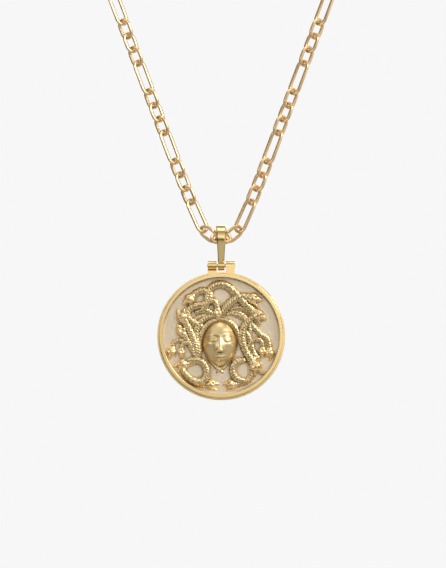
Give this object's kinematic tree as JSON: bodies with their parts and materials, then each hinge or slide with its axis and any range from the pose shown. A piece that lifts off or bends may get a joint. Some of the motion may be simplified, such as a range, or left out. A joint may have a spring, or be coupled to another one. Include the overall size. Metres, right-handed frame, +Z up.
{
  "type": "statement necklace",
  "caption": "Gold figaro chain necklace with a tapered bail and a hinged round locket whose lid carries a raised snake-haired head on a stippled ground.",
  "frame": {"origin": "underside of the clasp at the top of the chain's loop, where the necklace hangs on the neck", "axes": "+Z up along the hanging necklace, the locket's front faces -Y, +X to the viewer's right"},
  "size_m": [0.103, 0.0066, 0.2143],
  "materials": {
    "chain_gold": "polished gold plate",
    "polished_gold": "polished gold plate",
    "matte_gold": "stippled matte gold plate, relief polished"
  },
  "bodies": {
    "chain": {"chain_left": "chain_gold", "chain_right": "chain_gold", "clasp": "chain_gold"},
    "bail": {"bail": "polished_gold"},
    "locket": {"back_shell": "polished_gold", "hinge_pin": "polished_gold"},
    "lid": {"lid_rim": "polished_gold", "relief_plate": "matte_gold"}
  },
  "joints": [
    {"name": "bail_swing", "type": "hinge", "parent": "chain", "child": "bail", "pos_m": [0, 0, -0.17767], "axis": [-1, 0, 0], "range_deg": [-60, 60]},
    {"name": "locket_swing", "type": "hinge", "parent": "bail", "child": "locket", "pos_m": [0, 0, -0.18329], "axis": [-1, 0, 0], "range_deg": [-70, 15]},
    {"name": "lid_open", "type": "hinge", "parent": "locket", "child": "lid", "pos_m": [0, 0, -0.18329], "axis": [-1, 0, 0], "range_deg": [0, 75]}
  ]
}
